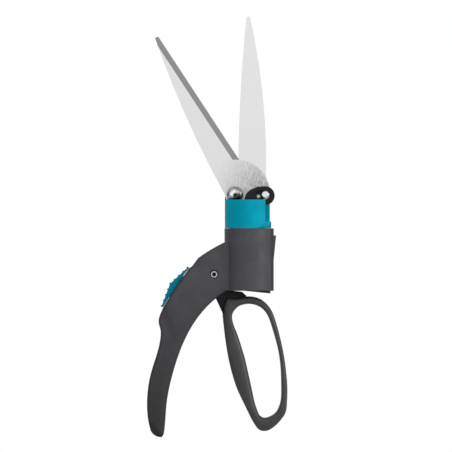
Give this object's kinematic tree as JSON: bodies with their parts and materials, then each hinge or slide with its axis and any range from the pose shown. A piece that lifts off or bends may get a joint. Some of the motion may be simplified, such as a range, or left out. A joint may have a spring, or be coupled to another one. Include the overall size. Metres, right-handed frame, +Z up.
{
  "type": "grass shears",
  "caption": "One-hand swivel grass shears: arched palm grip, squeezed finger loop, pull-rod driven blade beside a fixed blade on a swivelling head, and a thumb lock.",
  "frame": {"origin": "middle of the overall box at its lowest level, with the tool upright and the blades on top", "axes": "+Z up toward the blade tips, +X from the palm grip toward the finger loop, +Y from the front to the flat rear cover"},
  "size_m": [0.1168, 0.0414, 0.3501],
  "materials": {
    "grey_shell": "finely textured dark grey moulded plastic",
    "grey_loop": "satin dark grey moulded plastic",
    "teal_plastic": "satin teal moulded plastic",
    "black_plastic": "satin black glass-filled plastic",
    "nylon": "natural nylon",
    "blade_steel": "ground and brushed hardened steel",
    "bright_steel": "bright zinc-plated steel",
    "dark_screw": "black oxide steel",
    "black_steel": "black coated steel plate",
    "spring_steel": "oiled spring steel"
  },
  "bodies": {
    "handle": {"handle_front_shell": "grey_shell", "handle_rear_shell": "grey_shell", "rear_barrel_cover": "grey_shell", "cover_screws": "dark_screw", "shell_screws": "dark_screw", "pivot_screw": "bright_steel", "pivot_sleeve": "bright_steel", "lever_pivot_nut": "bright_steel", "swivel_bushing": "nylon"},
    "lock_slider": {"lock_slider": "teal_plastic", "slider_leaf_spring": "spring_steel"},
    "lever": {"lever_core": "black_plastic", "finger_loop": "grey_loop", "lock_pin": "bright_steel"},
    "swivel_head": {"swivel_head": "teal_plastic", "fixed_blade": "blade_steel", "pivot_bolt": "bright_steel", "pivot_washer": "bright_steel", "pivot_nut": "bright_steel", "tang_screws": "bright_steel", "detent_ball": "bright_steel", "detent_spring": "spring_steel", "return_spring": "spring_steel", "spring_seat_washer": "bright_steel"},
    "pull_rod": {"pull_rod": "bright_steel", "yoke_plate": "black_steel", "yoke_rivets": "bright_steel", "spring_collar": "bright_steel", "rod_spool": "nylon", "spool_nut": "bright_steel"},
    "moving_blade": {"moving_blade": "blade_steel", "drive_pin": "bright_steel"}
  },
  "joints": [
    {"name": "head_swivel", "type": "hinge", "parent": "handle", "child": "swivel_head", "pos_m": [0.02551, -0.0011, 0.16], "axis": [0, 0, 1], "continuous": true},
    {"name": "lever_squeeze", "type": "hinge", "parent": "handle", "child": "lever", "pos_m": [-0.00269, -0.0011, 0.1353], "axis": [0, 1, 0], "range_deg": [0, 25.3], "stiffness_Nm_per_rad": 0.8, "springref_deg": -20.05},
    {"name": "rod_slide", "type": "slide", "parent": "swivel_head", "child": "pull_rod", "axis": [0, 0, -1], "range_m": [0, 0.01287], "deforming": ["return_spring"]},
    {"name": "blade_swing", "type": "hinge", "parent": "swivel_head", "child": "moving_blade", "pos_m": [0.01481, -0.0011, 0.2013], "axis": [0, 1, 0], "range_deg": [0, 30.7]},
    {"name": "lock_slide", "type": "slide", "parent": "handle", "child": "lock_slider", "axis": [-0.5592, 0, -0.829], "range_m": [0, 0.008]}
  ],
  "couplings": [
    {"joint": "rod_slide", "follows": "lever_squeeze", "m_per_rad": 0.0291},
    {"joint": "blade_swing", "follows": "lever_squeeze", "ratio": 1.2134}
  ]
}
